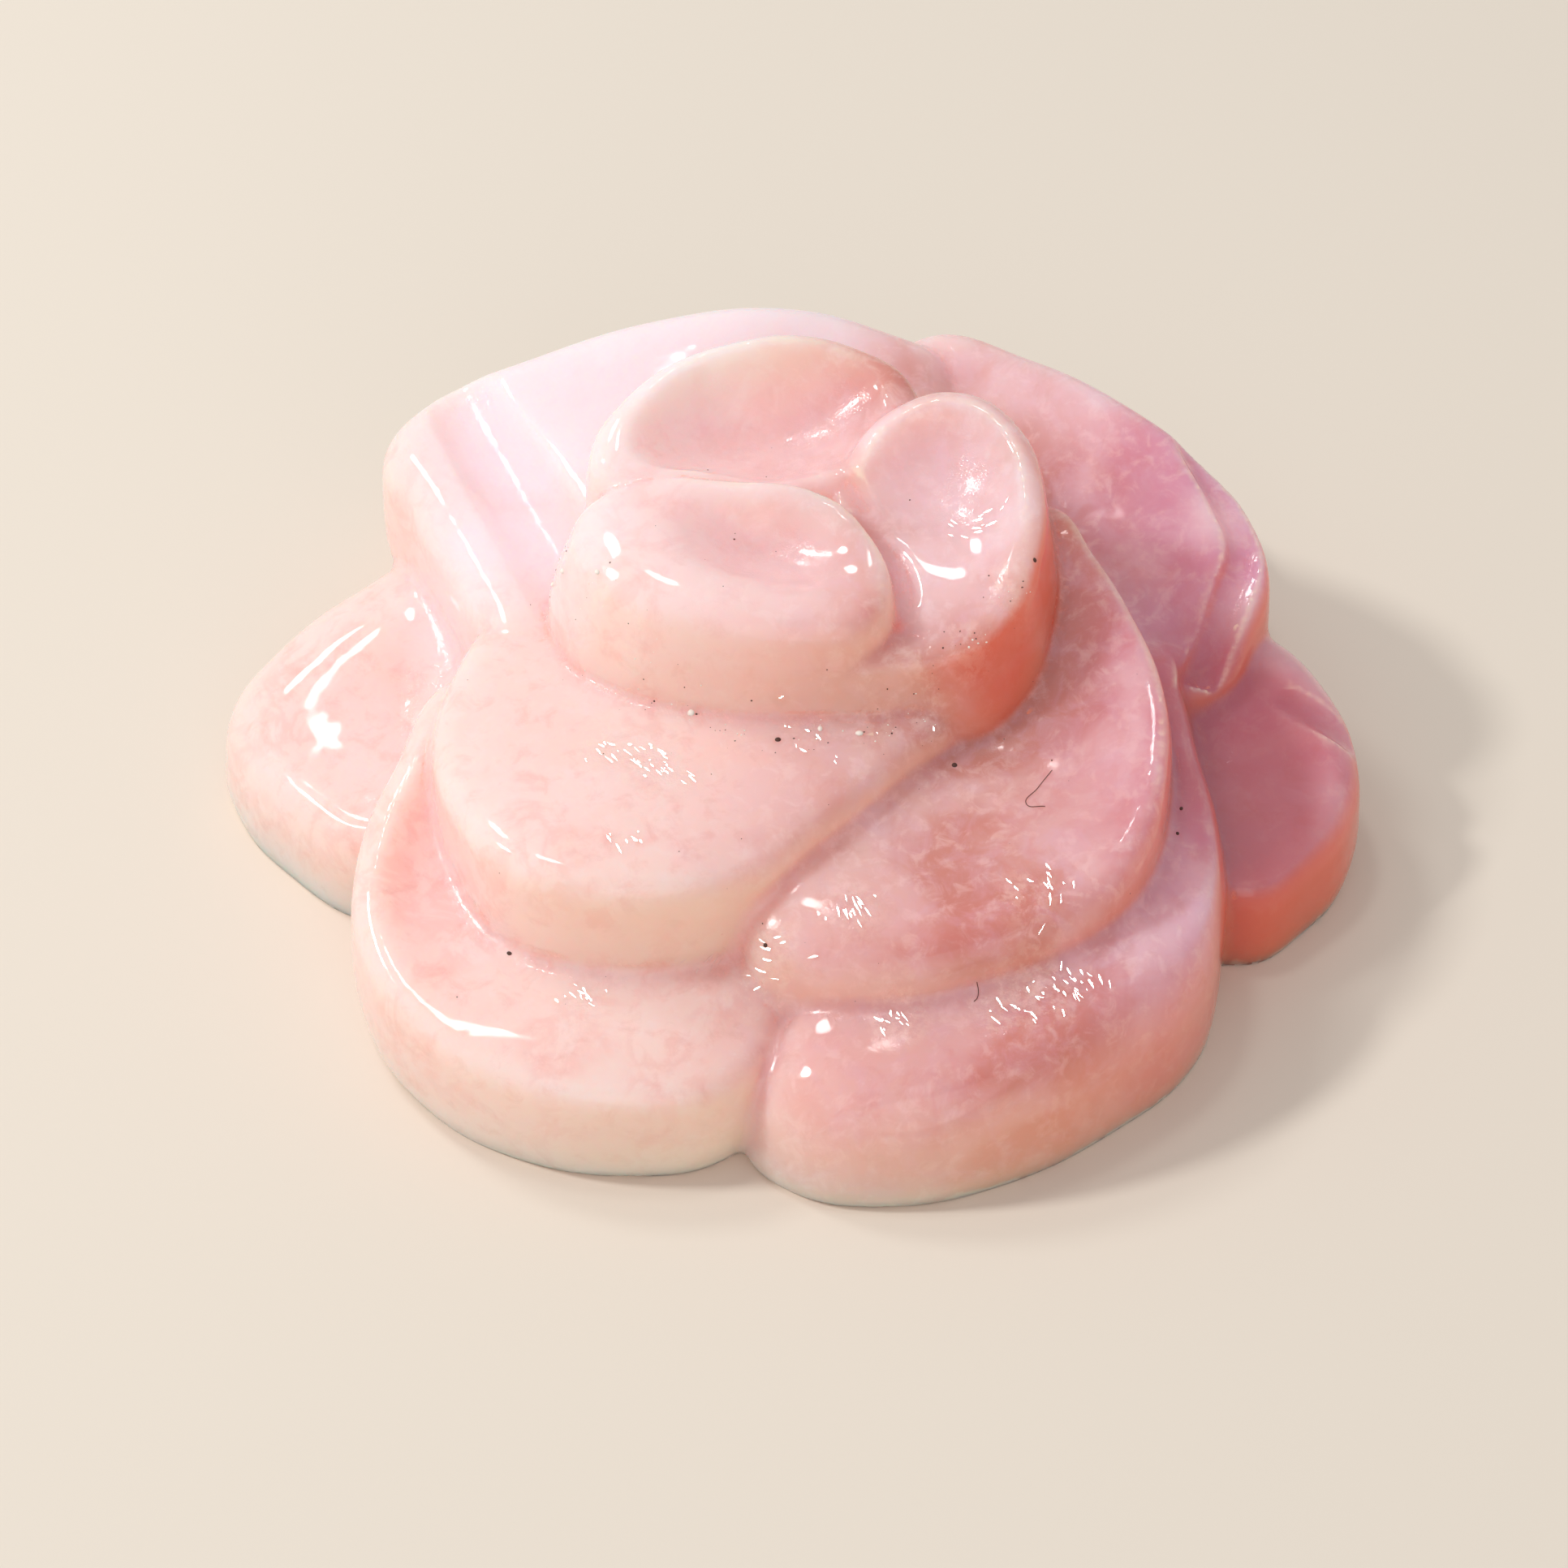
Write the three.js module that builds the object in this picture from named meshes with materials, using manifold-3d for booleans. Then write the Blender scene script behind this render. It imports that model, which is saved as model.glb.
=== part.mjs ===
// An open rose carved from one pebble of pink opal and polished all over.
// Millimetres, +Z up. The rose lies on its flat sawn back, with the origin under the middle of it.
// -Y is the front, where the two broad petals meet in a notch.
import * as THREE from "three";
import { mergeVertices } from "three/addons/utils/BufferGeometryUtils.js";
import Module from "manifold-3d";

const wasm = await Module();
wasm.setup();

// Driving sizes
const SAWN_BACK = 0; // height of the flat back
const SAW_ALLOWANCE = 1; // how far the blanks reach below the cut
const STEPS_AROUND = 36; // facets round a petal
const BOWL_CURVE = 2; // power of the face's profile: 1 is a cone, 2 a round bowl
const WELD = 1e-4; // corners closer than this are one corner
const BLOCK = 60; // side of the block that is kept above the saw cut

// Each petal is a thick lobe of stone. Its crest is the highest line of its rim, anticlockwise from above,
// as [x, y, z]. Its heart is the middle of the face inside the rim, hollow or slightly domed. The rim is
// rounded over by lip, the wall below it stands out by belly, and draws in by tuck down to the foot.
const OUTER_PETALS = [
  {
    name: "left",
    crest: [
      [-12.5, 5.2, 6.2],
      [-15.5, 3.7, 5.7],
      [-17.8, 1.6, 5.0],
      [-18.8, -0.4, 4.4],
      [-18.4, -2.3, 3.9],
      [-16.8, -4.4, 3.7],
      [-14.4, -6.2, 3.8],
      [-11.0, -6.0, 5.0],
      [-9.0, 0.0, 6.2],
    ],
    heart: [-14.2, -2.0, 4.2],
    lip: 1.6,
    belly: 0.2,
    tuck: 1.0,
    foot: -SAW_ALLOWANCE,
  },
  {
    name: "front_left",
    crest: [
      [-10.8, -3.6, 8.0],
      [-12.6, -6.6, 7.2],
      [-13.4, -9.8, 6.2],
      [-13.2, -12.2, 5.4],
      [-11.6, -14.4, 4.9],
      [-9.0, -16.0, 4.7],
      [-5.6, -16.8, 4.5],
      [-2.9, -16.3, 4.3],
      [-1.7, -14.6, 4.3],
      [-2.0, -10.0, 5.6],
      [-6.0, -4.0, 6.0],
    ],
    heart: [-6.0, -11.0, 6.0],
    lip: 1.3,
    belly: 0.2,
    tuck: 1.0,
    foot: -SAW_ALLOWANCE,
  },
  {
    name: "front_right",
    crest: [
      [0.5, -15.8, 4.3],
      [1.6, -17.4, 4.3],
      [4.2, -17.9, 4.3],
      [7.4, -17.1, 4.5],
      [10.6, -15.3, 4.8],
      [12.9, -13.1, 5.3],
      [13.9, -10.8, 5.9],
      [14.0, -7.6, 6.4],
      [13.7, -4.8, 6.8],
      [13.4, -2.2, 7.0],
      [12.8, 0.6, 7.4],
      [9.0, 0.0, 7.4],
      [5.0, -8.0, 6.2],
      [1.6, -13.0, 4.8],
    ],
    heart: [7.0, -10.2, 6.2],
    lip: 1.3,
    belly: 0.2,
    tuck: 1.0,
    foot: -SAW_ALLOWANCE,
  },
  {
    name: "right",
    crest: [
      [15.0, -8.8, 3.4],
      [17.4, -7.4, 3.6],
      [18.9, -5.6, 4.1],
      [19.4, -3.5, 4.9],
      [18.9, -1.4, 5.6],
      [17.2, 0.8, 6.0],
      [15.2, 2.2, 6.0],
      [11.0, 1.0, 6.0],
      [10.0, -5.0, 5.0],
    ],
    heart: [15.0, -3.8, 3.6],
    lip: 0.8,
    belly: 0.1,
    tuck: 0.8,
    foot: -SAW_ALLOWANCE,
  },
  {
    name: "back_right",
    crest: [
      [13.6, 4.0, 4.6],
      [15.0, 8.0, 4.4],
      [14.0, 12.5, 4.2],
      [10.8, 16.0, 4.2],
      [7.0, 17.8, 4.2],
      [3.2, 17.6, 4.2],
      [1.4, 15.2, 4.4],
      [3.0, 8.0, 6.0],
      [9.0, 4.0, 6.6],
    ],
    heart: [8.8, 12.0, 3.8],
    lip: 1.2,
    belly: 0.2,
    tuck: 1.0,
    foot: -SAW_ALLOWANCE,
  },
  {
    name: "back_left",
    crest: [
      [-1.2, 15.4, 4.4],
      [-3.4, 17.8, 4.2],
      [-7.2, 18.0, 4.2],
      [-11.0, 15.8, 4.2],
      [-13.2, 12.0, 4.4],
      [-13.4, 8.0, 4.8],
      [-12.0, 5.2, 5.4],
      [-7.0, 4.0, 6.6],
      [-3.0, 8.0, 6.0],
    ],
    heart: [-7.8, 12.0, 3.8],
    lip: 1.2,
    belly: 0.2,
    tuck: 1.0,
    foot: -SAW_ALLOWANCE,
  },
];

const MIDDLE_PETALS = [
  {
    name: "inner_left",
    crest: [
      [-9.8, -0.6, 8.9],
      [-11.4, -3.6, 8.7],
      [-11.7, -6.4, 8.5],
      [-10.9, -9.4, 8.6],
      [-8.9, -11.6, 8.8],
      [-6.3, -12.6, 8.9],
      [-3.6, -12.5, 8.6],
      [-1.6, -11.6, 8.2],
      [0.8, -9.9, 8.5],
      [3.0, -7.8, 8.8],
      [5.4, -5.0, 9.2],
      [2.0, 0.0, 9.4],
      [-5.0, 1.0, 9.4],
    ],
    heart: [-3.8, -6.2, 9.2],
    lip: 0.9,
    belly: 0.1,
    tuck: 0.2,
    foot: 2,
  },
  {
    name: "inner_right",
    crest: [
      [-0.2, -12.2, 7.2],
      [1.4, -13.2, 7.1],
      [4.0, -13.8, 7.1],
      [6.8, -13.4, 7.4],
      [9.4, -12.3, 7.8],
      [11.3, -10.4, 8.5],
      [12.1, -7.6, 9.3],
      [12.1, -5.0, 10.0],
      [11.4, -2.4, 10.7],
      [10.2, 0.0, 11.3],
      [8.6, 2.2, 11.8],
      [4.0, 0.0, 9.0],
      [0.0, -7.0, 7.8],
    ],
    heart: [6.8, -7.4, 8.1],
    lip: 0.6,
    belly: 0.1,
    tuck: 0.2,
    foot: 2,
  },
  {
    name: "rear_right",
    crest: [
      [13.4, 0.3, 7.4],
      [15.0, 1.2, 8.0],
      [15.9, 3.2, 8.9],
      [15.0, 5.8, 9.7],
      [12.4, 8.3, 10.5],
      [8.6, 10.8, 11.1],
      [4.8, 11.9, 11.1],
      [1.5, 8.0, 8.6],
      [5.0, 3.0, 8.6],
      [9.5, -0.6, 8.0],
    ],
    heart: [9.6, 4.2, 7.6],
    lip: 0.9,
    belly: 0.1,
    tuck: 3.0,
    foot: 2,
  },
  {
    name: "rear_left",
    crest: [
      [4.6, 10.4, 11.4],
      [2.4, 11.6, 12.1],
      [-0.6, 12.1, 12.6],
      [-5.0, 11.9, 12.2],
      [-9.2, 11.0, 11.2],
      [-12.4, 9.6, 10.1],
      [-13.5, 7.2, 9.4],
      [-12.9, 5.0, 9.2],
      [-11.7, 3.0, 9.1],
      [-10.4, 0.6, 8.9],
      [-6.0, 0.5, 8.6],
      [-2.0, 3.0, 9.6],
      [3.0, 6.0, 10.0],
    ],
    heart: [-8.4, 5.6, 8.3],
    lip: 1.0,
    belly: 0.1,
    tuck: 3.0,
    foot: 2,
  },
];

const BUD_PETALS = [
  {
    name: "bud_rear",
    crest: [
      [3.4, 5.2, 14.5],
      [1.8, 5.8, 15.4],
      [0.0, 6.0, 15.9],
      [-1.9, 5.8, 15.8],
      [-3.9, 5.1, 15.4],
      [-5.2, 4.0, 14.9],
      [-6.0, 2.6, 14.4],
      [-5.8, 1.5, 13.9],
      [-3.5, 1.2, 13.5],
      [0.4, 0.9, 13.4],
      [3.4, 2.2, 13.4],
    ],
    heart: [-0.8, 3.6, 12.8],
    lip: 0.8,
    belly: 0.2,
    tuck: 0.5,
    foot: 5,
  },
  {
    name: "bud_front",
    crest: [
      [-6.0, 0.0, 13.5],
      [-5.7, -2.0, 13.4],
      [-4.4, -3.7, 13.2],
      [-2.1, -4.6, 13.0],
      [0.6, -4.7, 12.8],
      [2.3, -4.2, 12.7],
      [2.6, -2.7, 13.0],
      [1.8, -1.0, 13.4],
      [0.6, 0.4, 13.5],
      [-2.5, 0.9, 13.6],
      [-4.8, 1.0, 13.6],
    ],
    heart: [-1.4, -1.7, 12.3],
    lip: 1.3,
    belly: 0.5,
    tuck: 0.4,
    foot: 5,
  },
  {
    name: "bud_right",
    crest: [
      [3.2, -4.6, 11.8],
      [4.9, -4.6, 12.4],
      [6.4, -3.8, 13.1],
      [7.4, -2.2, 13.9],
      [7.6, -0.3, 14.7],
      [7.0, 1.7, 15.3],
      [5.4, 3.0, 15.5],
      [3.5, 2.3, 14.8],
      [2.4, 0.8, 13.8],
      [2.2, -2.0, 12.6],
    ],
    heart: [4.9, -0.9, 12.9],
    lip: 0.9,
    belly: 0.3,
    tuck: 0.4,
    foot: 5,
  },
];

// The uncut middle of the stone, under the petals, as [radius, height]
const CORE_PROFILE = [
  [0, -SAW_ALLOWANCE],
  [14.5, -SAW_ALLOWANCE],
  [14.5, 1.6],
  [12.5, 4.0],
  [9.0, 6.4],
  [6.0, 8.6],
  [0, 9.0],
];

// A petal's surface is rings from its heart over the rim and down the wall to the middle of its foot.
// Inside the rim a ring is a share of the way from the heart to the crest. On the rim, out and drop are
// multiples of the lip.
const FACE_SHARES = [0, 0.3, 0.52, 0.7, 0.84, 0.94];
const RIM_ARC = [
  { out: 0, drop: 0 },
  { out: 0.5, drop: 0.14 },
  { out: 0.87, drop: 0.5 },
  { out: 1, drop: 1 },
];
const BELLY_HEIGHT = 0.4; // share of the wall's height at which it stands out most

// The crest as points spaced round the petal, each with the direction that leads straight out of it in plan
function crestPoints(petal) {
  const corners = petal.crest.map((p) => new THREE.Vector3(...p));
  const curve = new THREE.CatmullRomCurve3(corners, true, "centripetal");
  return Array.from({ length: STEPS_AROUND }, (_, i) => {
    const point = curve.getPoint(i / STEPS_AROUND);
    const along = curve.getTangent(i / STEPS_AROUND);
    return { point, outward: new THREE.Vector3(along.y, -along.x, 0).normalize() };
  });
}

// The rings of one petal, each a function from a crest point to a point of the surface
function petalRings(petal) {
  const heart = new THREE.Vector3(...petal.heart);
  const face = FACE_SHARES.map((share) => ({ point }) => {
    const place = heart.clone().lerp(point, share);
    place.z = THREE.MathUtils.lerp(heart.z, point.z, share ** BOWL_CURVE);
    return place;
  });
  const rim = RIM_ARC.map(({ out, drop }) => ({ point, outward }) => {
    const place = point.clone().addScaledVector(outward, out * petal.lip);
    place.z -= drop * petal.lip;
    return place;
  });
  const wall = ({ point, outward }, out, height) => {
    const place = point.clone().addScaledVector(outward, out);
    place.z = THREE.MathUtils.lerp(petal.foot, point.z, height);
    return place;
  };
  return [
    ...face,
    ...rim,
    (crest) => wall(crest, petal.lip + petal.belly, BELLY_HEIGHT),
    (crest) => wall(crest, petal.lip + petal.belly - petal.tuck, 0),
    () => new THREE.Vector3(heart.x, heart.y, petal.foot),
  ];
}

// A sphere's rings and poles, moved to the petal's own rings
function petalGeometry(petal) {
  const crest = crestPoints(petal);
  const rings = petalRings(petal);
  const geometry = new THREE.SphereGeometry(1, STEPS_AROUND, rings.length - 1);
  const { position, uv } = geometry.attributes;
  for (let i = 0; i < position.count; i++) {
    const ring = Math.round((1 - uv.getY(i)) * (rings.length - 1));
    const step = Math.round(uv.getX(i) * STEPS_AROUND) % STEPS_AROUND;
    position.setXYZ(i, ...rings[ring](crest[step]));
  }
  return geometry;
}

function coreGeometry() {
  const profile = CORE_PROFILE.map(([radius, height]) => new THREE.Vector2(radius, height));
  return new THREE.LatheGeometry(profile, STEPS_AROUND).rotateX(Math.PI / 2);
}

function toSolid(geometry) {
  const bare = geometry.clone();
  bare.deleteAttribute("normal");
  bare.deleteAttribute("uv");
  const merged = mergeVertices(bare, WELD);
  return new wasm.Manifold(
    new wasm.Mesh({
      numProp: 3,
      vertProperties: merged.attributes.position.array,
      triVerts: new Uint32Array(merged.index.array),
    }),
  );
}

function toGeometry(solid) {
  const mesh = solid.getMesh();
  return new THREE.BufferGeometry()
    .setAttribute("position", new THREE.BufferAttribute(mesh.vertProperties, mesh.numProp))
    .setIndex(new THREE.BufferAttribute(mesh.triVerts, 1));
}

const aboveTheCut = new THREE.BoxGeometry(BLOCK, BLOCK, BLOCK).translate(0, 0, SAWN_BACK + BLOCK / 2);
let stone = toSolid(coreGeometry());
for (const petal of [...OUTER_PETALS, ...MIDDLE_PETALS, ...BUD_PETALS]) {
  stone = stone.add(toSolid(petalGeometry(petal)));
}
stone = stone.intersect(toSolid(aboveTheCut));

const polishedOpal = new THREE.MeshStandardMaterial({ color: 0xe6aaa6, roughness: 0.12, metalness: 0 });
const shape = toGeometry(stone);
shape.computeBoundingBox();
const middle = shape.boundingBox.getCenter(new THREE.Vector3());
shape.translate(-middle.x, -middle.y, 0);
const rose = new THREE.Mesh(shape, polishedOpal);
rose.name = "opal_rose";

const group = new THREE.Group();
group.add(rose);
export default group;
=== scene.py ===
import math

import bpy
import numpy as np
from mathutils import Matrix, Vector


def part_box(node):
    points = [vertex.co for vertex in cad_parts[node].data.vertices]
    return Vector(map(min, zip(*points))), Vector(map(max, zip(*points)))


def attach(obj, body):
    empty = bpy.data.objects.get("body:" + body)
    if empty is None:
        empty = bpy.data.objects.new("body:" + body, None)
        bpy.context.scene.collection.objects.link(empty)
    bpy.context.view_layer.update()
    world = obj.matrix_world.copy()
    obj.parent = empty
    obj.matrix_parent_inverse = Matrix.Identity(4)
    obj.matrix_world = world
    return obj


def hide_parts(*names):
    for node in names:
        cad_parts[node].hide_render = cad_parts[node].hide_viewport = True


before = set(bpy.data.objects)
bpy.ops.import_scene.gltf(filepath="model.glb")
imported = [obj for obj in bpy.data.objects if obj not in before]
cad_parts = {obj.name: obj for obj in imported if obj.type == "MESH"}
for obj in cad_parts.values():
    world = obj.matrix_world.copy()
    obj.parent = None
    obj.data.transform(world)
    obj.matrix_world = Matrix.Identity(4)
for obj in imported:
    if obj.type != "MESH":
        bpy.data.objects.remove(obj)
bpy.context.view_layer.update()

# The stone that is left under the petals is the middle of the pebble, which the carver never reached.
# It is common opal, pale pink and milky, and all the petals stand on it.
MM = 0.001
STONE_RADIUS = 14.5
STONE_HEIGHT = 9.0


def start_fresh():
    if bpy.context.object and bpy.context.object.mode != "OBJECT":
        bpy.ops.object.mode_set(mode="OBJECT")
    bpy.ops.object.select_all(action="DESELECT")


start_fresh()
bpy.ops.mesh.primitive_uv_sphere_add(segments=96, ring_count=48, radius=MM)
stone_middle = bpy.context.object
bpy.ops.object.mode_set(mode="EDIT")
bpy.ops.transform.resize(value=(STONE_RADIUS, STONE_RADIUS, STONE_HEIGHT))
bpy.ops.object.mode_set(mode="OBJECT")
carved = [stone_middle]

# Each petal is a thick lobe of the same stone. The wheel first cuts its outline, the crest of the rim, then
# dishes the face inside it, and last rounds the rim over into the wall outside. All sizes are in millimetres.

# A face runs from the crest in to the heart. Each cut has how far out and how high it lies, as shares.
SOFT_DISH = ((0.96, 0.996), (0.89, 0.955), (0.79, 0.85), (0.66, 0.65), (0.49, 0.38), (0.31, 0.16),
             (0.14, 0.04))
SHARP_DISH = ((0.97, 0.93), (0.9, 0.79), (0.8, 0.61), (0.66, 0.4), (0.49, 0.21), (0.31, 0.08), (0.14, 0.02))
WIDE_RIM = ((0.93, 0.99), (0.85, 0.95), (0.75, 0.86), (0.62, 0.66), (0.47, 0.38), (0.3, 0.14), (0.14, 0.03))
FLAT_TOP = ((0.97, 0.88), (0.93, 0.75), (0.87, 0.57), (0.79, 0.39), (0.66, 0.19), (0.45, 0.04), (0.2, 0.0))
SLOPE = ((0.96, 0.965), (0.89, 0.9), (0.79, 0.8), (0.66, 0.66), (0.49, 0.48), (0.31, 0.28), (0.14, 0.1))

# The rim turns over outside the crest: how far out and how far down, as shares of the lip.
RIM_TURNS = ((0.26, 0.035), (0.5, 0.135), (0.71, 0.29), (0.87, 0.5), (0.97, 0.76), (1.0, 1.05))

# Down the wall: the shares of the belly and of the tuck that each cut has, and its height as a share.
WALL_CUTS = ((1, 0, 0.72), (1, 0, 0.45), (0.6, 0.25, 0.2), (0, 1, 0))

# The walls go on below the back, for the saw. Points closer together than the weld become one.
SAW_ALLOWANCE = 1.0
CURVE_STEPS = 8
WELD = 0.001


def scale_last_cut(across, down, about):
    bpy.ops.transform.resize(value=(across, across, down), center_override=Vector(about) * MM)


def bend_through(curve, path):
    """Makes the curve's one spline run smoothly through the points of the path."""
    spline = curve.data.splines[0]
    spline.bezier_points.add(len(path) - len(spline.bezier_points))
    for knot, place in zip(spline.bezier_points, path):
        knot.co = Vector(place) * MM
        knot.handle_left_type = knot.handle_right_type = "AUTO"


def carve_petal(name, crest, heart, lip, face=SOFT_DISH, lean=None, belly=0.2, tuck=1.0, foot=-SAW_ALLOWANCE):
    """Carves one petal. Its rim and wall grow out from lean, or else from the heart."""
    start_fresh()
    bpy.ops.curve.primitive_bezier_circle_add(radius=MM)
    outline = bpy.context.object
    outline.name = name
    bend_through(outline, crest)
    outline.data.resolution_u = CURVE_STEPS
    bpy.ops.object.convert(target="MESH")
    petal = bpy.context.object

    bpy.ops.object.mode_set(mode="EDIT")
    bpy.ops.mesh.select_all(action="SELECT")
    across = rise = 1.0
    for cut_across, cut_rise in face:
        bpy.ops.mesh.extrude_region_move()
        scale_last_cut(cut_across / across, cut_rise / rise, heart)
        across = cut_across
        rise = cut_rise
    bpy.ops.mesh.extrude_region_move()
    scale_last_cut(0, 0, heart)
    bpy.ops.mesh.select_all(action="SELECT")
    bpy.ops.mesh.remove_doubles(threshold=MM * WELD)
    bpy.ops.mesh.select_all(action="DESELECT")
    bpy.ops.mesh.select_non_manifold()

    middle = (*lean, 0) if lean else heart
    reach = sum(math.dist(place[:2], middle[:2]) for place in crest) / len(crest)
    out = down = 0.0
    for turn_out, turn_down in RIM_TURNS:
        bpy.ops.mesh.extrude_region_move()
        scale_last_cut((reach + lip * turn_out) / (reach + out), 1, middle)
        bpy.ops.transform.translate(value=(0, 0, (down - lip * turn_down) * MM))
        out = lip * turn_out
        down = lip * turn_down
    under = (*middle[:2], foot)
    height = 1.0
    for belly_share, tuck_share, cut_height in WALL_CUTS:
        bpy.ops.mesh.extrude_region_move()
        wall_out = lip + belly * belly_share - tuck * tuck_share
        scale_last_cut((reach + wall_out) / (reach + out), cut_height / height, under)
        out = wall_out
        height = cut_height
    bpy.ops.mesh.extrude_region_move()
    scale_last_cut(0, 1, under)
    bpy.ops.mesh.select_all(action="SELECT")
    bpy.ops.mesh.remove_doubles(threshold=MM * WELD)
    bpy.ops.mesh.normals_make_consistent(inside=False)
    bpy.ops.object.mode_set(mode="OBJECT")
    rounding = petal.modifiers.new("rounding", "SUBSURF")
    rounding.levels = rounding.render_levels = 1
    bpy.ops.object.modifier_apply(modifier=rounding.name)
    carved.append(petal)
    return petal


def cut_groove(petal, path, wheel):
    """Cuts a round-bottomed groove into a petal. The path is that of the wheel's middle."""
    start_fresh()
    bpy.ops.curve.primitive_bezier_curve_add(radius=MM)
    cutter = bpy.context.object
    bend_through(cutter, path)
    cutter.data.bevel_depth = wheel * MM
    cutter.data.bevel_resolution = CURVE_STEPS
    cutter.data.use_fill_caps = True
    bpy.ops.object.convert(target="MESH")
    start_fresh()
    bpy.context.view_layer.objects.active = petal
    groove_cut = petal.modifiers.new("groove", "BOOLEAN")
    groove_cut.operation = "DIFFERENCE"
    groove_cut.object = cutter
    bpy.ops.object.modifier_apply(modifier=groove_cut.name)
    bpy.data.objects.remove(cutter)


# Six outer petals lie on the table. The two broad front ones meet in a notch, and the two at the back are
# out of sight from the front.
carve_petal(
    "left petal",
    crest=[(-12.8, 4.1, 6.2), (-15.3, 2.8, 5.7), (-17.2, 1.0, 5.0), (-18.1, -0.7, 4.4), (-17.7, -2.3, 3.9),
           (-16.4, -4.0, 3.7), (-14.4, -5.5, 3.8), (-11.5, -5.4, 5.0), (-9.8, -0.3, 6.2)],
    heart=(-13.8, -3.0, 4.0), lip=2.4,
)
carve_petal(
    "front left petal",
    crest=[(-11.0, -3.6, 8.0), (-12.7, -6.6, 7.1), (-13.6, -9.8, 6.1), (-13.3, -12.3, 5.2),
           (-11.7, -14.8, 4.6), (-9.1, -16.6, 4.2), (-5.6, -17.3, 4.0), (-3.0, -16.7, 4.0),
           (-1.6, -14.7, 4.1), (-2.1, -10.0, 5.6), (-6.0, -4.2, 6.0)],
    heart=(-8.0, -12.0, 4.7), face=FLAT_TOP, lip=1.1,
)
carve_petal(
    "front right petal",
    crest=[(3.6, -13.9, 5.0), (4.5, -15.0, 5.0), (6.3, -15.4, 5.1), (8.7, -14.9, 5.5), (11.1, -13.5, 5.8),
           (12.8, -11.9, 5.8), (13.5, -10.1, 6.1), (13.6, -7.9, 6.5), (13.3, -5.7, 6.8), (13.1, -3.6, 7.0),
           (12.6, -1.2, 7.4), (9.9, -2.2, 7.4), (7.0, -8.1, 6.6), (4.5, -11.8, 5.6)],
    heart=(8.0, -11.0, 5.9), face=SLOPE, lean=(12.2, -8.8), lip=3.5,
)
right = carve_petal(
    "right petal",
    crest=[(15.0, -8.2, 3.6), (17.0, -6.9, 3.8), (18.1, -5.4, 4.3), (18.4, -3.5, 5.0), (17.8, -1.6, 5.7),
           (16.5, 0.1, 6.2), (15.0, 1.0, 6.2), (11.3, 0.6, 6.0), (10.4, -4.9, 5.0)],
    heart=(15.0, -4.2, 4.4), face=SLOPE, lean=(14.4, -6.0), lip=1.6,
)
cut_groove(right, wheel=0.9, path=[(16.9, -1.8, 6.4), (18.6, -2.2, 5.8), (20.6, -2.7, 4.4)])
carve_petal(
    "back right petal",
    crest=[(13.6, 4.0, 4.6), (15.0, 8.0, 4.4), (14.0, 12.5, 4.2), (10.8, 16.0, 4.2), (7.0, 17.8, 4.2),
           (3.2, 17.6, 4.2), (1.4, 15.2, 4.4), (3.0, 8.0, 6.0), (9.0, 4.0, 6.6)],
    heart=(8.8, 12.0, 3.8), lip=1.2,
)
carve_petal(
    "back left petal",
    crest=[(-1.2, 15.4, 4.4), (-3.4, 17.8, 4.2), (-7.2, 18.0, 4.2), (-11.0, 15.8, 4.2), (-13.2, 12.0, 4.4),
           (-13.4, 8.0, 4.8), (-12.0, 5.2, 5.4), (-7.0, 4.0, 6.6), (-3.0, 8.0, 6.0)],
    heart=(-7.8, 12.0, 3.8), lip=1.2,
)

# Four petals stand in a middle layer. The left one laps over the right one in front, and the two rear ones
# rise behind the bud like a collar.
MIDDLE_FOOT = 2.0
carve_petal(
    "inner right petal",
    crest=[(1.4, -11.1, 7.2), (2.7, -12.0, 7.1), (4.9, -12.5, 7.1), (7.3, -12.1, 7.4), (9.6, -11.2, 7.8),
           (11.1, -9.6, 8.5), (11.9, -7.2, 9.3), (11.9, -5.0, 10.0), (11.2, -2.8, 10.7), (10.2, -0.7, 11.3),
           (8.9, 1.1, 11.8), (4.9, -0.7, 9.0), (1.5, -6.7, 7.8)],
    heart=(6.8, -6.6, 7.7), face=SLOPE, lean=(10.5, -5.0), lip=2.1, belly=0.1, tuck=0.2, foot=MIDDLE_FOOT,
)
carve_petal(
    "inner left petal",
    crest=[(-9.6, -0.6, 8.5), (-10.7, -3.6, 8.7), (-11.0, -6.4, 8.5), (-10.2, -9.1, 8.6), (-8.6, -11.4, 8.7),
           (-6.2, -12.4, 8.6), (-3.7, -12.3, 8.5), (-1.8, -11.5, 8.3), (0.4, -9.6, 8.6), (2.4, -7.6, 8.8),
           (4.5, -5.1, 9.2), (1.5, -0.6, 9.0), (-5.2, 1.6, 8.0), (-8.0, 1.2, 8.0)],
    heart=(-4.4, -6.8, 9.0), face=FLAT_TOP, lip=1.1, belly=0.1, tuck=0.2, foot=MIDDLE_FOOT,
)
rear_right = carve_petal(
    "rear right petal",
    crest=[(13.5, 0.2, 7.2), (14.3, 1.4, 8.2), (14.9, 3.0, 9.0), (14.6, 4.8, 9.6), (13.6, 6.6, 10.1),
           (11.6, 8.6, 10.7), (8.4, 10.8, 11.1), (4.8, 12.0, 11.1), (1.5, 8.0, 8.6), (5.0, 3.0, 8.6),
           (9.5, -0.6, 8.0)],
    heart=(9.8, 4.2, 8.6), face=SLOPE, lean=(6.0, 7.0), lip=1.5, belly=0.1, tuck=3.0, foot=MIDDLE_FOOT,
)
cut_groove(
    rear_right, wheel=0.9,
    path=[(13.6, 9.6, 11.6), (14.5, 7.3, 10.4), (15.5, 4.6, 9.8), (15.9, 2.8, 9.3), (15.2, 0.9, 8.5),
          (14.5, -0.6, 7.5), (14.2, -1.8, 6.6)],
)
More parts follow.
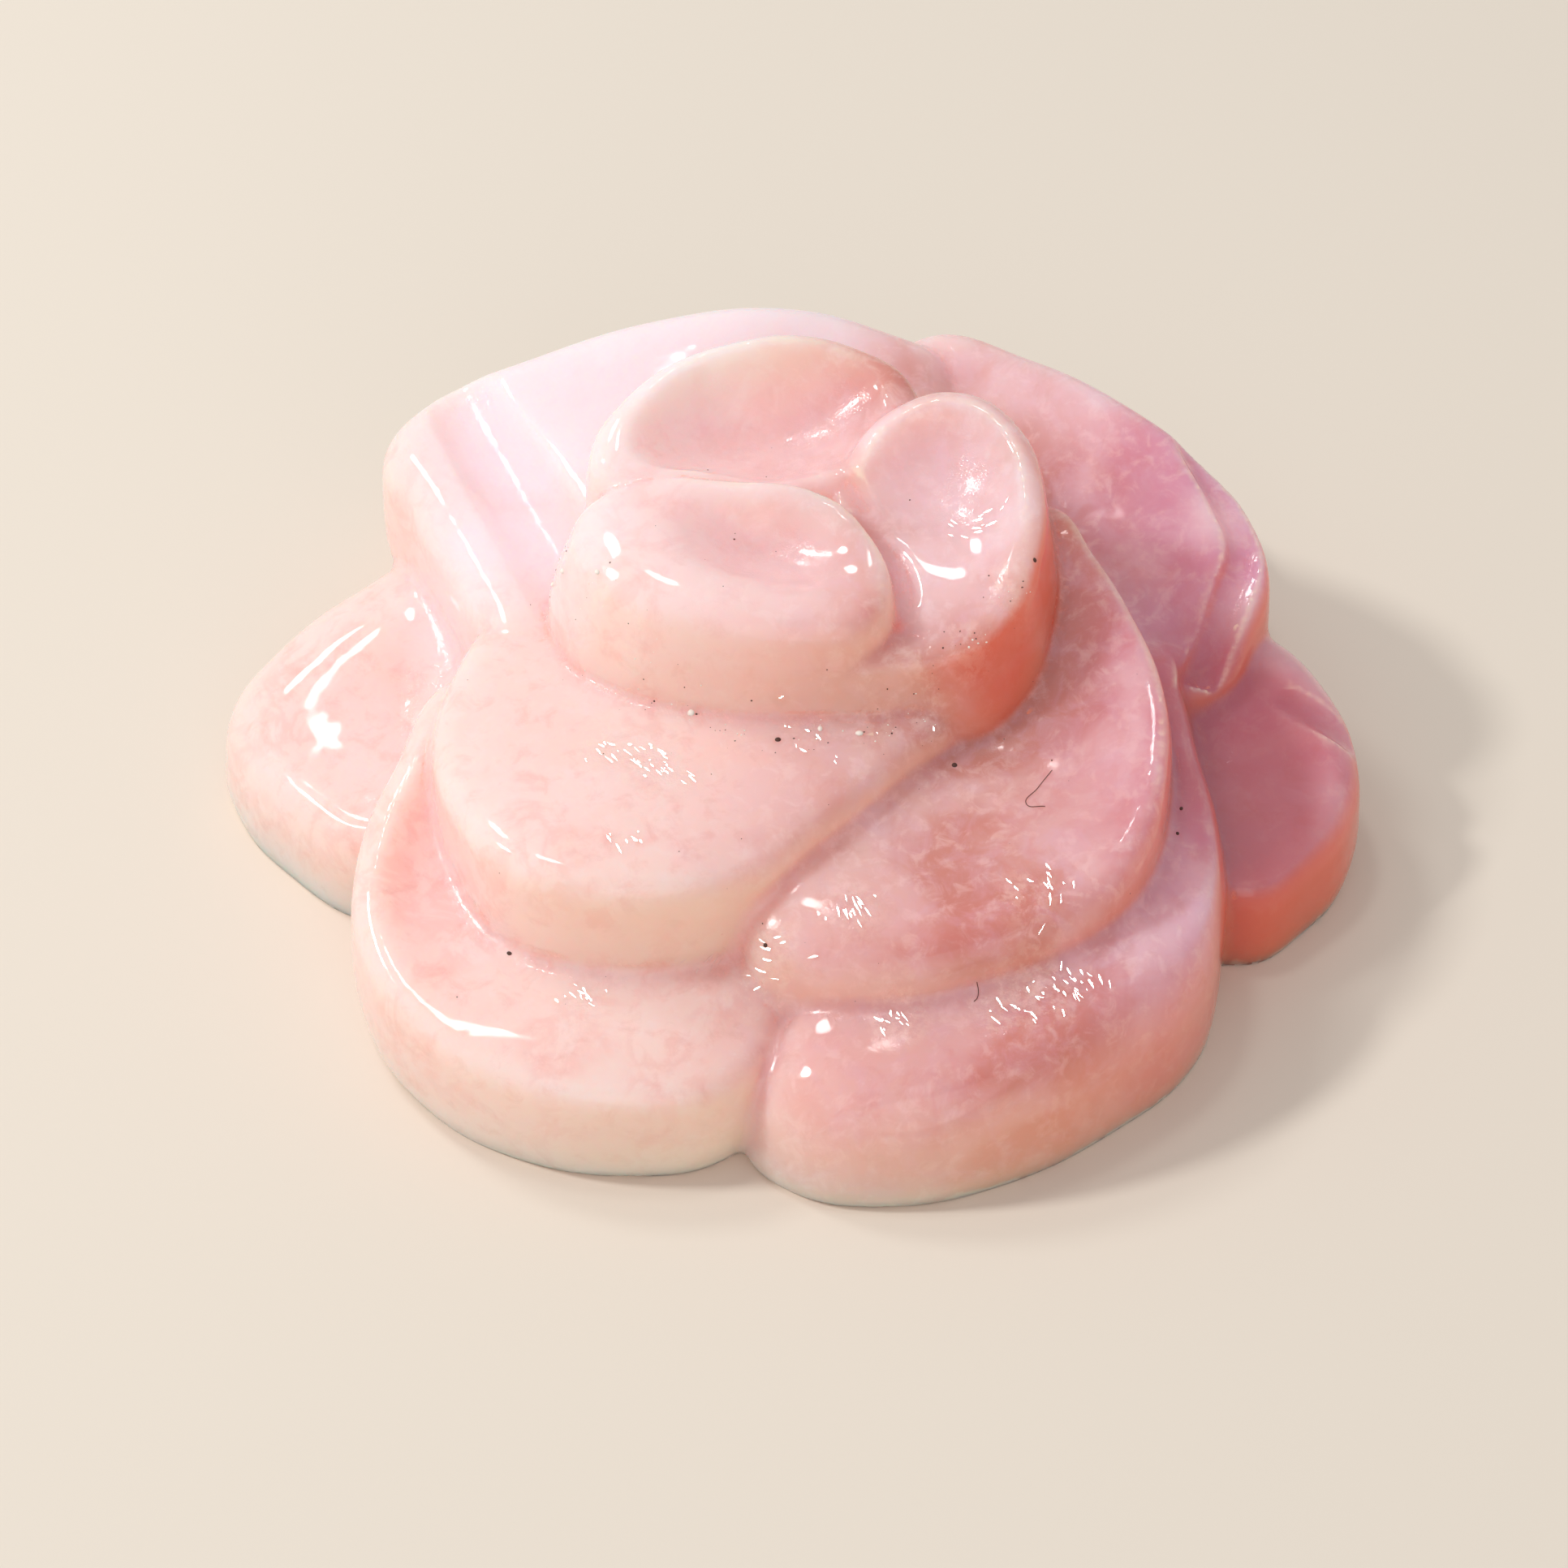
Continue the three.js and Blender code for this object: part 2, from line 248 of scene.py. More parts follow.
rear_left = carve_petal(
    "rear left petal",
    crest=[(4.0, 10.2, 11.4), (2.0, 11.3, 12.1), (-0.9, 11.8, 12.6), (-5.0, 11.6, 12.2), (-9.0, 10.8, 11.2),
           (-12.2, 9.4, 10.4), (-13.3, 7.4, 10.05), (-12.3, 5.2, 9.75), (-11.2, 3.1, 9.42), (-10.1, 0.9, 9.1),
           (-9.0, -1.1, 8.8), (-5.0, -1.6, 8.4), (-2.2, 3.2, 9.6), (2.5, 6.0, 10.0)],
    heart=(-5.6, 6.4, 11.0), lip=1.5, belly=0.1, tuck=3.0, foot=MIDDLE_FOOT,
)
cut_groove(
    rear_left, wheel=2.0,
    path=[(-13.2, 12.0, 12.8), (-12.4, 9.8, 11.95), (-11.3, 7.4, 11.55), (-10.25, 5.2, 11.2),
          (-9.2, 3.0, 10.85), (-8.15, 0.8, 10.5), (-7.1, -1.4, 10.15)],
)

# The bud is one round knob with three furled petals cut into its top: one behind, one in front, and one on
# the right that the front one laps over.
BUD_FOOT = 5.0
carve_petal(
    "bud knob",
    crest=[(-4.6, -1.5, 11.0), (-3.6, -3.6, 11.0), (-1.5, -4.7, 11.0), (1.0, -5.0, 11.0), (3.2, -4.9, 11.2),
           (5.0, -4.5, 11.2), (6.6, -3.2, 11.4), (7.0, -0.8, 11.5), (5.5, 2.0, 11.5), (0.0, 4.0, 11.5),
           (-4.0, 2.5, 11.2)],
    heart=(1.0, -0.5, 11.2), face=SLOPE, lip=0.8, belly=0.5, tuck=0.2, foot=BUD_FOOT,
)
carve_petal(
    "rear bud petal",
    crest=[(2.8, 4.9, 15.0), (1.6, 5.6, 15.5), (-0.1, 5.8, 15.9), (-1.8, 5.6, 15.8), (-3.7, 5.0, 15.4),
           (-4.9, 4.0, 14.9), (-5.6, 2.7, 14.4), (-5.4, 1.7, 14.0), (-3.3, 1.3, 13.7), (0.3, 1.0, 13.6),
           (2.8, 2.5, 14.3)],
    heart=(-1.3, 3.3, 12.8), face=SHARP_DISH, lip=1.1, tuck=0.5, foot=BUD_FOOT,
)
carve_petal(
    "front bud petal",
    crest=[(-5.0, -0.1, 13.6), (-4.8, -1.9, 13.4), (-3.7, -3.2, 13.2), (-1.7, -4.0, 13.0), (0.6, -4.2, 12.8),
           (2.1, -3.9, 12.8), (2.7, -2.9, 13.1), (2.2, -1.4, 13.6), (0.9, -0.1, 13.9), (-2.0, 0.5, 13.9),
           (-4.0, 0.6, 13.8)],
    heart=(-0.7, -1.7, 12.2), face=WIDE_RIM, lean=(1.2, -0.8), lip=1.5, belly=0.5, tuck=0.2, foot=BUD_FOOT,
)
right_bud = carve_petal(
    "right bud petal",
    crest=[(3.0, -3.9, 11.0), (4.9, -4.3, 11.5), (6.5, -3.6, 12.5), (7.3, -2.2, 13.7), (7.5, -0.3, 14.6),
           (6.9, 1.7, 15.3), (5.4, 2.9, 15.5), (3.6, 2.6, 15.1), (2.4, 1.2, 14.4), (1.9, -0.8, 12.9),
           (1.9, -2.7, 11.6)],
    heart=(4.6, -0.7, 12.8), face=SHARP_DISH, lip=1.0, belly=0.6, tuck=0.2, foot=BUD_FOOT,
)
cut_groove(
    right_bud, wheel=0.5,
    path=[(0.6, 1.4, 14.3), (2.0, 0.2, 13.7), (3.0, -1.2, 13.1), (3.6, -2.8, 12.4), (3.8, -4.4, 11.9),
          (3.9, -6.2, 11.8)],
)

# All of it is one stone. The petals run into each other without a seam, the back is sawn flat, and then
# sand and felt wheels take every edge down and give the whole rose its gloss.
GRAIN = 0.135
TRIANGLES = 190_000
EVEN_OUT = 0.5
SANDING_PASSES = 8
start_fresh()
for blank in carved:
    blank.select_set(True)
bpy.context.view_layer.objects.active = stone_middle
bpy.ops.object.join()
rose = bpy.context.object
rose.name = "polished_rose"
rose.data.name = "polished_rose"

one_stone = rose.modifiers.new("one stone", "REMESH")
one_stone.mode = "VOXEL"
one_stone.voxel_size = GRAIN * MM
bpy.ops.object.modifier_apply(modifier=one_stone.name)
sanding = rose.modifiers.new("sanding", "SMOOTH")
sanding.factor = EVEN_OUT
sanding.iterations = SANDING_PASSES
bpy.ops.object.modifier_apply(modifier=sanding.name)

NEAR_STEPS = 6
FAR_STEPS = 90


def hollow_depth(steps):
    """How far below the smoothed-over surface each point of the rose lies, in metres."""
    start_fresh()
    bpy.context.view_layer.objects.active = rose
    rose.select_set(True)
    bpy.ops.object.duplicate()
    smoothed = bpy.context.object
    over = smoothed.modifiers.new("over", "SMOOTH")
    over.factor = EVEN_OUT
    over.iterations = steps
    bpy.ops.object.modifier_apply(modifier=over.name)
    count = len(rose.data.vertices)
    here, there, up = (np.empty(count * 3, np.float32) for _ in range(3))
    rose.data.vertices.foreach_get("co", here)
    smoothed.data.vertices.foreach_get("co", there)
    rose.data.vertices.foreach_get("normal", up)
    bpy.ops.object.delete()
    bpy.context.view_layer.objects.active = rose
    rose.select_set(True)
    return ((there - here).reshape(-1, 3) * up.reshape(-1, 3)).sum(1)


# A wheel leaves a round bottom in every groove, so the hollow parts are smoothed further than the rest.
GROOVE_STARTS = 0.02
GROOVE_FULL = 0.2
BUD_GROOVE = 9.0
BUD_FADE = 1.5
BUD_SHARE = 0.12
WEIGHTS = 12
WHEEL_PASSES = 110
depth = hollow_depth(FAR_STEPS) / MM
places = np.empty(len(rose.data.vertices) * 3, np.float32)
rose.data.vertices.foreach_get("co", places)
heights = places[2::3] / MM
shares = np.clip((depth - GROOVE_STARTS) / (GROOVE_FULL - GROOVE_STARTS), 0, 1)
shares *= np.clip((BUD_GROOVE - heights) / BUD_FADE, BUD_SHARE, 1)
grooves = rose.vertex_groups.new(name="grooves")
for weight in range(1, WEIGHTS + 1):
    chosen = np.nonzero(np.round(shares * WEIGHTS) == weight)[0]
    grooves.add(chosen.tolist(), weight / WEIGHTS, "REPLACE")
wheel_bottoms = rose.modifiers.new("wheel bottoms", "SMOOTH")
wheel_bottoms.vertex_group = grooves.name
wheel_bottoms.factor = EVEN_OUT
wheel_bottoms.iterations = WHEEL_PASSES
bpy.ops.object.modifier_apply(modifier=wheel_bottoms.name)

triangles = 2 * len(rose.data.polygons)
lighter = rose.modifiers.new("lighter", "DECIMATE")
lighter.ratio = TRIANGLES / triangles
bpy.ops.object.modifier_apply(modifier=lighter.name)

# The saw takes the back off flat, and the rose is brought to the size of the stone in the frame.
SMOOTH_UP_TO = math.radians(50)
bpy.ops.object.mode_set(mode="EDIT")
bpy.ops.mesh.select_all(action="SELECT")
bpy.ops.mesh.bisect(plane_co=(0, 0, 0), plane_no=(0, 0, 1), clear_inner=True)
bpy.ops.mesh.select_all(action="DESELECT")
bpy.ops.mesh.select_non_manifold()
bpy.ops.mesh.fill()
bpy.ops.mesh.select_all(action="SELECT")
bpy.ops.mesh.normals_make_consistent(inside=False)
bpy.ops.object.mode_set(mode="OBJECT")

corners = np.empty(len(rose.data.vertices) * 3)
rose.data.vertices.foreach_get("co", corners)
corners = corners.reshape(-1, 3)
low = corners.min(0)
high = corners.max(0)
cad_low, cad_high = (np.array(side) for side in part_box("opal_rose"))
growth = (cad_high - cad_low) / (high - low)
bpy.ops.object.mode_set(mode="EDIT")
bpy.ops.mesh.select_all(action="SELECT")
bpy.ops.transform.resize(value=growth, center_override=Vector((low + high) / 2))
bpy.ops.transform.translate(value=Vector((cad_low + cad_high - low - high) / 2))
bpy.ops.object.mode_set(mode="OBJECT")
bpy.ops.object.shade_smooth_by_angle(angle=SMOOTH_UP_TO)

# Polished opal is milky: light goes a few millimetres into it and comes back pink. White clouds and darker
# wisps run through it. The wheel left the grooves a little rough, and everything else shines like glass.
NEAR_DEPTH = 0.03
FAR_DEPTH = 0.35
BUD_TOP = 11.0
BUD_SIDE = 10.0
STEEPNESS = 1.4
TO_THE_RIGHT = 0.5
TO_THE_FRONT = 0.2


def keep_layer(name, values):
    layer = rose.data.attributes.new(name, "FLOAT", "POINT")
    layer.data.foreach_set("value", np.clip(values, -1, 1).astype(np.float32))


keep_layer("groove", hollow_depth(NEAR_STEPS) / (NEAR_DEPTH * MM))
keep_layer("hollow", hollow_depth(FAR_STEPS) / (FAR_DEPTH * MM))
facing = np.empty(len(rose.data.vertices) * 3, np.float32)
surface = np.empty(len(rose.data.vertices) * 3, np.float32)
rose.data.vertices.foreach_get("normal", facing)
rose.data.vertices.foreach_get("co", surface)
facing = facing.reshape(-1, 3)
surface = surface.reshape(-1, 3) / MM
# Painted glow on the steep walls, strongest on those facing right and to the front: light passing through the
# stone and lighting the front walls.
steep = np.clip(1 - facing[:, 2] * STEEPNESS, 0, 1)
lit_through = np.clip(0.5 + TO_THE_RIGHT * facing[:, 0] - TO_THE_FRONT * facing[:, 1], 0, 1)
keep_layer("wall", steep * lit_through)


def zone(spots, soft):
    """1 within each spot's radius, seen from above, fading to 0 over the soft edge. All in millimetres."""
    share = np.zeros(len(surface))
    for x, y, radius in spots:
        away = np.hypot(surface[:, 0] - x, surface[:, 1] - y)
        share = np.maximum(share, np.clip((radius + soft - away) / soft, 0, 1))
    return share


# Worn matt in the polish, painted light and painted sheen on the lit faces and rims, painted shade on the
# right petals, and a painted orange glow and shade on the shaded walls at the foot.
BUD_GROOVE_LINE = ((-7.7, -0.9), (-6.1, -3.2), (-5.0, -4.7), (-3.2, -5.8), (-1.5, -6.7), (1.1, -6.7),
                   (3.1, -6.4), (4.8, -5.9), (6.1, -4.9), (7.3, -3.7))
keep_layer("matt", zone([
    (2.2, -12.9, 0.7), (7.8, -12.5, 0.8), (8.2, -15.0, 1.0), (6.9, -15.4, 0.8), (-5.6, -7.3, 0.8),
    (-4.7, -8.0, 1.1), (-3.8, -8.9, 0.7), (3.7, -15.6, 0.7), (-0.6, -13.6, 0.7), (-6.4, -14.8, 0.5),
    (-1.7, -14.7, 0.5), *((x, y, 0.3) for x, y in BUD_GROOVE_LINE),
], soft=0.6))
# Painted light: near-white patches where the key and window light the rear left petal and the bud's dishes
# and left side, and painted sheen along the rear right and right rims.
bud_top = surface[:, 2] > BUD_TOP
bud_dish_sheen = zone([(5.6, 1.2, 1.6), (6.6, -0.6, 1.2), (4.2, 1.6, 1.2), (5.0, -2.4, 1.0)], soft=2.0) * bud_top
lit_bud_dishes = zone([(-1.5, 3.0, 3.5), (-1.5, -2.0, 3.0)], soft=2.0) * bud_top
lit_rear_petal = zone([(-9.0, 8.0, 2.5), (-5.0, 9.0, 4.0), (-1.0, 11.0, 3.0), (-10.0, 3.0, 1.0)], soft=3.5)
lit_bud_left = zone([(-6.4, 2.4, 1.5), (-6.6, -1.0, 1.2)], soft=2.0) * (surface[:, 2] > BUD_SIDE)
rear_edge_sheen = zone([(6.0, 11.6, 1.0), (8.4, 10.9, 1.0), (10.6, 9.4, 1.0)], soft=2.0)
right_rim_sheen = zone([(16.3, 0.6, 0.4), (17.6, 0.0, 0.5), (18.8, -0.7, 0.4), (15.2, 4.0, 0.4)], soft=1.1)
keep_layer("painted_light", np.max([lit_rear_petal, 0.6 * bud_dish_sheen, 0.35 * lit_bud_dishes, 0.5 * lit_bud_left, 0.5 * rear_edge_sheen,
                            0.7 * right_rim_sheen], axis=0))
# Painted shade: the right petal, the right end of the rear right petal and the right of the front right
# petals, darkened to mauve on the side away from the key light.
shaded_right_petal = zone([(16.0, -3.0, 2.5), (16.0, -6.0, 2.0), (16.5, -8.0, 1.2)], soft=3.0)
shaded_rear_right = zone([(13.8, 3.0, 1.5)], soft=3.0)
shaded_front_right = zone([(2.5, -15.5, 1.0), (6.0, -15.5, 1.5), (11.0, -7.5, 2.0), (13.5, -7.0, 1.0)], soft=3.0)
keep_layer("painted_shade", np.max([shaded_right_petal, 0.35 * shaded_rear_right, 0.25 * shaded_front_right], axis=0))
# Painted glow and shade: the bud's right foot and the low walls of the right and rear right petals, in shade,
# painted deep orange.
painted_foot_glow = np.maximum(zone([(6.9, -4.4, 1.0), (8.2, -2.2, 1.0)], soft=1.8),
                   0.7 * zone([(19.5, -5.0, 3.0), (16.5, -9.5, 2.5), (15.6, 1.8, 1.5)], soft=1.8))
keep_layer("painted_foot_glow", painted_foot_glow * np.clip(steep * 2, 0, 1))


def paint(red, green, blue):
    """A colour as seen on a screen, 0 to 255, as the linear colour that a shader takes."""
    linear = []
    for part in (red / 255, green / 255, blue / 255):
        linear.append(part / 12.92 if part <= 0.04045 else ((part + 0.055) / 1.055) ** 2.4)
    return (*linear, 1.0)


LIT_SIDE_PALE = paint(255, 216, 211)
ROSE = paint(209, 141, 132)
SHADED_SIDE_DUSK = paint(220, 160, 186)
PAINTED_LIGHT_COLOR = paint(255, 231, 240)
CLOUD = paint(252, 224, 224)
WISP = paint(214, 118, 112)
LAVENDER = paint(228, 186, 204)
PEACH = paint(255, 218, 192)
ORANGE = paint(232, 132, 92)
FOOT_GLOW_COLOR = paint(220, 96, 66)
PAINTED_RECESS_GLOW = paint(255, 160, 124)
LIT_EDGE_COLOR = paint(255, 226, 204)
SHADE_MAUVE = paint(188, 92, 104)
SCUFFED = paint(255, 236, 220)

opal = bpy.data.materials.new("polished opal")
opal.use_nodes = True
nodes = opal.node_tree.nodes
links = opal.node_tree.links
shader = nodes["Principled BSDF"]


def add_node(kind, inputs=(), **settings):
    node = nodes.new(kind)
    for name, value in settings.items():
        setattr(node, name, value)
    for socket, value in dict(inputs).items():
        if isinstance(value, bpy.types.NodeSocket):
            links.new(value, node.inputs[socket])
        else:
            node.inputs[socket].default_value = value
    return node


def ramp(value, low, high, to_low=0.0, to_high=1.0):
    node = add_node("ShaderNodeMapRange", {0: value, 1: low, 2: high, 3: to_low, 4: to_high},
                    interpolation_type="SMOOTHSTEP")
    return node.outputs[0]


def times(first, second):
    return add_node("ShaderNodeMath", {0: first, 1: second}, operation="MULTIPLY").outputs[0]


def plus(first, second):
    return add_node("ShaderNodeMath", {0: first, 1: second}, operation="ADD").outputs[0]


def noise(scale, detail=4.0, roughness=0.5, distortion=0.0):
    """A pattern that changes about scale times in each millimetre."""
    return add_node("ShaderNodeTexNoise", {"Vector": place, "Scale": scale, "Detail": detail,
                                           "Roughness": roughness, "Distortion": distortion}).outputs["Fac"]


def tint(color, over, share):
    return add_node("ShaderNodeMix", {0: share, 6: color, 7: over}, data_type="RGBA").outputs[2]


def layer(name):
    return add_node("ShaderNodeAttribute", attribute_name=name).outputs["Fac"]


coordinates = add_node("ShaderNodeTexCoord").outputs["Object"]
millimetres = (1 / MM, 1 / MM, 1 / MM)
place = add_node("ShaderNodeMapping", {"Vector": coordinates, "Scale": millimetres}).outputs["Vector"]
groove = layer("groove")
hollow = layer("hollow")
wall = layer("wall")
sideways = add_node("ShaderNodeSeparateXYZ", {0: place}).outputs["X"]
big = noise(0.16, 4, 0.5, 0.8)
clouds = ramp(big, 0.42, 0.64)
small_clouds = ramp(noise(0.7, 6, 0.62, 0.8), 0.4, 0.7)
feathers = ramp(noise(1.5, 5, 0.62, 0.5), 0.48, 0.68)
wisp_line = noise(0.5, 5, 0.58, 0.6)
wisp_gap = add_node("ShaderNodeMath", {0: wisp_line, 1: 0.5}, operation="SUBTRACT").outputs[0]
wisp_near = add_node("ShaderNodeMath", {0: wisp_gap}, operation="ABSOLUTE").outputs[0]
wisps = times(ramp(wisp_near, 0.0, 0.1, 1.0, 0.0), ramp(noise(0.3, 2), 0.48, 0.6))

# The colour goes from pale on the left to rose and then dusky on the right, along a ragged line: painted
# light on the left, where the key lamp stands, and painted shade on the right, laid over the stone's own
# pink.
RAGGED = 5.0
across = plus(sideways, times(big, RAGGED))
color = tint(LIT_SIDE_PALE, ROSE, ramp(across, -3.0, 8.0))
color = tint(color, SHADED_SIDE_DUSK, ramp(across, 10.0, 17.0))
color = tint(color, CLOUD, times(clouds, 0.4))
color = tint(color, LAVENDER, times(times(small_clouds, ramp(across, -2.0, 9.0, 0.15, 1.0)), 0.42))
color = tint(color, CLOUD, times(feathers, 0.28))
color = tint(color, WISP, times(wisps, 0.14))
color = tint(color, ROSE, times(ramp(noise(1.1, 6, 0.65, 0.4), 0.5, 0.7), 0.2))
# Painted light and painted sheen, near white.
color = tint(color, PAINTED_LIGHT_COLOR, times(layer("painted_light"), 0.85))
# Painted shade in mauve on the petals turned away from the key light.
color = tint(color, SHADE_MAUVE, times(layer("painted_shade"), 0.75))
# Painted glow on the walls: light peach on the left, deepening to orange on the shaded right.
painted_wall_glow = tint(PEACH, ORANGE, ramp(sideways, 1.0, 14.0))
color = tint(color, painted_wall_glow, times(wall, 0.75))
# Painted glow: hollows and grooves are painted orange, standing for light scattered through the stone into
# the shaded recesses.
color = tint(color, PAINTED_RECESS_GLOW, times(ramp(hollow, 0.35, 1.0), 0.7))
color = tint(color, PAINTED_RECESS_GLOW, times(ramp(groove, 0.2, 1.0), 0.6))
# Painted light: thin convex rims and edges are painted lighter, standing for light shining through them.
color = tint(color, LIT_EDGE_COLOR, times(ramp(groove, -0.2, -0.8), 0.55))
# Painted glow and shade in deep orange at the shaded feet.
color = tint(color, FOOT_GLOW_COLOR, times(layer("painted_foot_glow"), 0.75))

# The gloss is broken only by frost in the grooves and by the matt spots, and the surface waves very slightly.
POLISH = 0.07
FROST = 0.28
WEAR = 0.2
WAVE_HEIGHT = 0.03
SCRATCH_HEIGHT = 0.02
PIT_HEIGHT = 0.03
matt = layer("matt")
frost = times(ramp(groove, 0.05, 0.5), ramp(noise(5.0, 4, 0.7), 0.45, 0.6))
worn = times(matt, ramp(noise(2.2, 4, 0.7), 0.45, 0.6))
links.new(plus(plus(times(frost, FROST), times(worn, WEAR)), POLISH), shader.inputs["Roughness"])
links.new(tint(color, SCUFFED, times(worn, 0.14)), shader.inputs["Base Color"])

wheel_waves = noise(0.5, 2)
scratches = noise(14.0, 3, 0.6)
pits = noise(3.0, 4, 0.65)
height = plus(times(wheel_waves, WAVE_HEIGHT), times(times(scratches, frost), SCRATCH_HEIGHT))
height = plus(height, times(times(pits, matt), PIT_HEIGHT))
bump = add_node("ShaderNodeBump", {"Height": height, "Strength": 1.0, "Distance": MM})
links.new(bump.outputs["Normal"], shader.inputs["Normal"])

# Red light goes furthest into the stone.
MILKINESS = 0.9
LIGHT_DEPTH = 4.0
RED_GREEN_BLUE_DEPTH = (1.0, 0.5, 0.38)
OPAL_IOR = 1.46
shader.inputs["Subsurface Weight"].default_value = MILKINESS
shader.inputs["Subsurface Radius"].default_value = RED_GREEN_BLUE_DEPTH
shader.inputs["Subsurface Scale"].default_value = LIGHT_DEPTH * MM
shader.inputs["IOR"].default_value = OPAL_IOR
rose.data.materials.clear()
rose.data.materials.append(opal)

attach(rose, "root")
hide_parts("opal_rose")

# Dust has settled on the rose since it was polished: dark grains, pale crumbs of polish and two short hairs.
# It lies loose on the faces and has gathered in the groove around the bud.
DUST_SEED = 11
DARK_GRAINS = ((8.3, -2.8), (5.7, -6.9), (-0.2, -7.0), (13.3, -7.8), (13.1, -8.8), (-9.0, -12.7),
               (-0.6, -13.4))
PALE_CRUMBS = ((1.2, -6.5), (2.5, -6.7), (-3.1, -5.8), (-7.5, -1.3), (-6.2, -2.8), (-7.9, -0.9))
GRAIN_SIZES = (0.06, 0.1)
CRUMB_SIZES = (0.07, 0.14)
FINE_GRAIN_SIZES = (0.012, 0.035)
FINE_CRUMB_SIZES = (0.015, 0.045)
STRAY_GRAIN_SIZES = (0.01, 0.03)
GRAINS_AT_EACH_POINT = 7
CRUMBS_AT_EACH_POINT = 5
GRAINS_ELSEWHERE = 40
DUSTY_ACROSS = (-11, 12)
DUSTY_DEEP = (-15, 4)
DUST_MOTTLE = 9.0
ABOVE = 30.0
rng = np.random.default_rng(DUST_SEED)


def on_rose(x, y):
    """The point and the normal of the rose's surface straight below x, y, which are in millimetres."""
    hit, point, normal, face = rose.ray_cast(Vector((x, y, ABOVE)) * MM, Vector((0, 0, -1)))
    return point, normal


def as_one_piece(parts, name):
    """Joins the parts into one object at the origin, unturned and unscaled."""
    for part in parts:
        part.select_set(True)
    bpy.ops.object.join()
    piece = bpy.context.object
    piece.name = name
    bpy.ops.object.transform_apply(location=True, rotation=True, scale=True)
    bpy.context.scene.cursor.location = (0, 0, 0)
    bpy.ops.object.origin_set(type="ORIGIN_CURSOR")
    return piece


def sprinkle(name, spots, color, roughness):
    """One object of small stones, each given as x, y and its radius in millimetres."""
    start_fresh()
    stones = []
    for x, y, radius in spots:
        point, normal = on_rose(x, y)
        bpy.ops.mesh.primitive_ico_sphere_add(
            subdivisions=2, radius=radius * MM, location=point,
            rotation=normal.to_track_quat("Z", "Y").to_euler(),
            scale=(rng.uniform(0.7, 1.3), rng.uniform(0.6, 1.1), 0.6),
        )
        stones.append(bpy.context.object)
    dust = as_one_piece(stones, name)
    bpy.ops.object.shade_smooth()
    surface_of_dust = bpy.data.materials.new(name)
    surface_of_dust.use_nodes = True
    finish = surface_of_dust.node_tree.nodes["Principled BSDF"]
    finish.inputs["Roughness"].default_value = roughness
    mottle = surface_of_dust.node_tree.nodes.new("ShaderNodeTexNoise")
    mottle.inputs["Scale"].default_value = DUST_MOTTLE / MM
    mix = surface_of_dust.node_tree.nodes.new("ShaderNodeMix")
    mix.data_type = "RGBA"
    mix.inputs[6].default_value = color
    mix.inputs[7].default_value = [part * 0.8 for part in color[:3]] + [1]
    surface_of_dust.node_tree.links.new(mottle.outputs["Fac"], mix.inputs[0])
    surface_of_dust.node_tree.links.new(mix.outputs[2], finish.inputs["Base Color"])
    dust.data.materials.append(surface_of_dust)
    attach(dust, "root")
    return dust


stray = []
for x, y in BUD_GROOVE_LINE:
    for turn in range(GRAINS_AT_EACH_POINT):
        stray.append((x + rng.normal(0, 0.6), y + rng.normal(0, 0.5), rng.uniform(*FINE_GRAIN_SIZES)))
for turn in range(GRAINS_ELSEWHERE):
    stray.append((rng.uniform(*DUSTY_ACROSS), rng.uniform(*DUSTY_DEEP), rng.uniform(*STRAY_GRAIN_SIZES)))
grains = [(x, y, rng.uniform(*GRAIN_SIZES)) for x, y in DARK_GRAINS] + stray
dark = sprinkle("dark_grains", grains, paint(84, 52, 44), roughness=0.7)
crumbs = [(x, y, rng.uniform(*CRUMB_SIZES)) for x, y in PALE_CRUMBS]
for x, y in BUD_GROOVE_LINE:
    for turn in range(CRUMBS_AT_EACH_POINT):
        crumbs.append((x + rng.normal(0, 0.35), y + rng.normal(0, 0.25), rng.uniform(*FINE_CRUMB_SIZES)))
sprinkle("pale_crumbs", crumbs, paint(255, 248, 240), roughness=0.5)

# Two short hairs have settled with the dust, a bent one on the inner right petal and a straighter one on the
# front right petal. They touch the stone and nothing holds them.
HAIRS = (((8.9, -7.5), (8.4, -8.1), (8.0, -8.7), (8.6, -8.9)),
         ((6.2, -14.6), (6.25, -14.8), (6.2, -15.0), (6.1, -15.1)))
HAIR_RADIUS = 0.014
HAIR_LIFT = 1.5 * HAIR_RADIUS
start_fresh()
strands = []
for hair in HAIRS:
    bpy.ops.curve.primitive_bezier_curve_add(radius=MM)
    strand = bpy.context.object
    bend_through(strand, [on_rose(x, y)[0] / MM + Vector((0, 0, HAIR_LIFT)) for x, y in hair])
    strand.data.bevel_depth = HAIR_RADIUS * MM
    strand.data.bevel_resolution = 2
    bpy.ops.object.convert(target="MESH")
    strands.append(bpy.context.object)
hairs = as_one_piece(strands, "stray_hairs")
hairs.data.materials.append(dark.data.materials[0])
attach(hairs, "root")

# In the last polish the wheel skipped in a few places and left clusters of short flat nicks in the stone.
# They flash because they face halfway between the key light and the camera.

